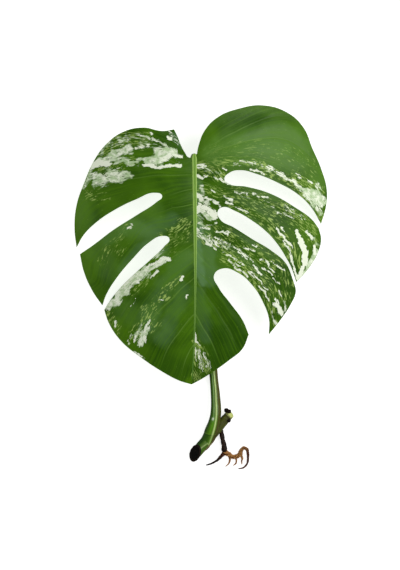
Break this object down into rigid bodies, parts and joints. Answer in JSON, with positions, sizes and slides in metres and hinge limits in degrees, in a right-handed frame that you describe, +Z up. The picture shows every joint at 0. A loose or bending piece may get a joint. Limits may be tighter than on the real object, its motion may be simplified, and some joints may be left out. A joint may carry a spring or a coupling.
{
  "type": "rooted monstera cutting",
  "caption": "Rooted cutting of a variegated monstera: one arched, slotted leaf on its petiole, with a short cut stem and bare roots, lying on a surface.",
  "frame": {"origin": "centre of the bounding box's underside, on the surface that the cutting lies on", "axes": "+Y runs from the roots and stem to the leaf's lobes, +X is to the right seen from above with the lobes away from the viewer, +Z is up from the surface, out of the leaf's upper face"},
  "size_m": [0.2502, 0.3582, 0.0458],
  "materials": {
    "leaf": "waxy",
    "rib": "waxy",
    "stalk": "waxy",
    "stem": "satin",
    "dried": "rough",
    "sheath": "papery",
    "root": "rough"
  },
  "bodies": {
    "root": {"leaf_blade": "leaf", "midrib": "rib", "petiole": "stalk", "stem": "stem", "dried_cut": "dried", "dead_bud": "dried", "upper_scale": "dried", "lower_scale": "dried", "dry_sheath": "sheath", "aerial_root": "dried", "left_root": "root", "right_root": "root", "arch_root": "root", "rootlet_1": "root", "rootlet_2": "root", "rootlet_3": "root"}
  },
  "joints": []
}
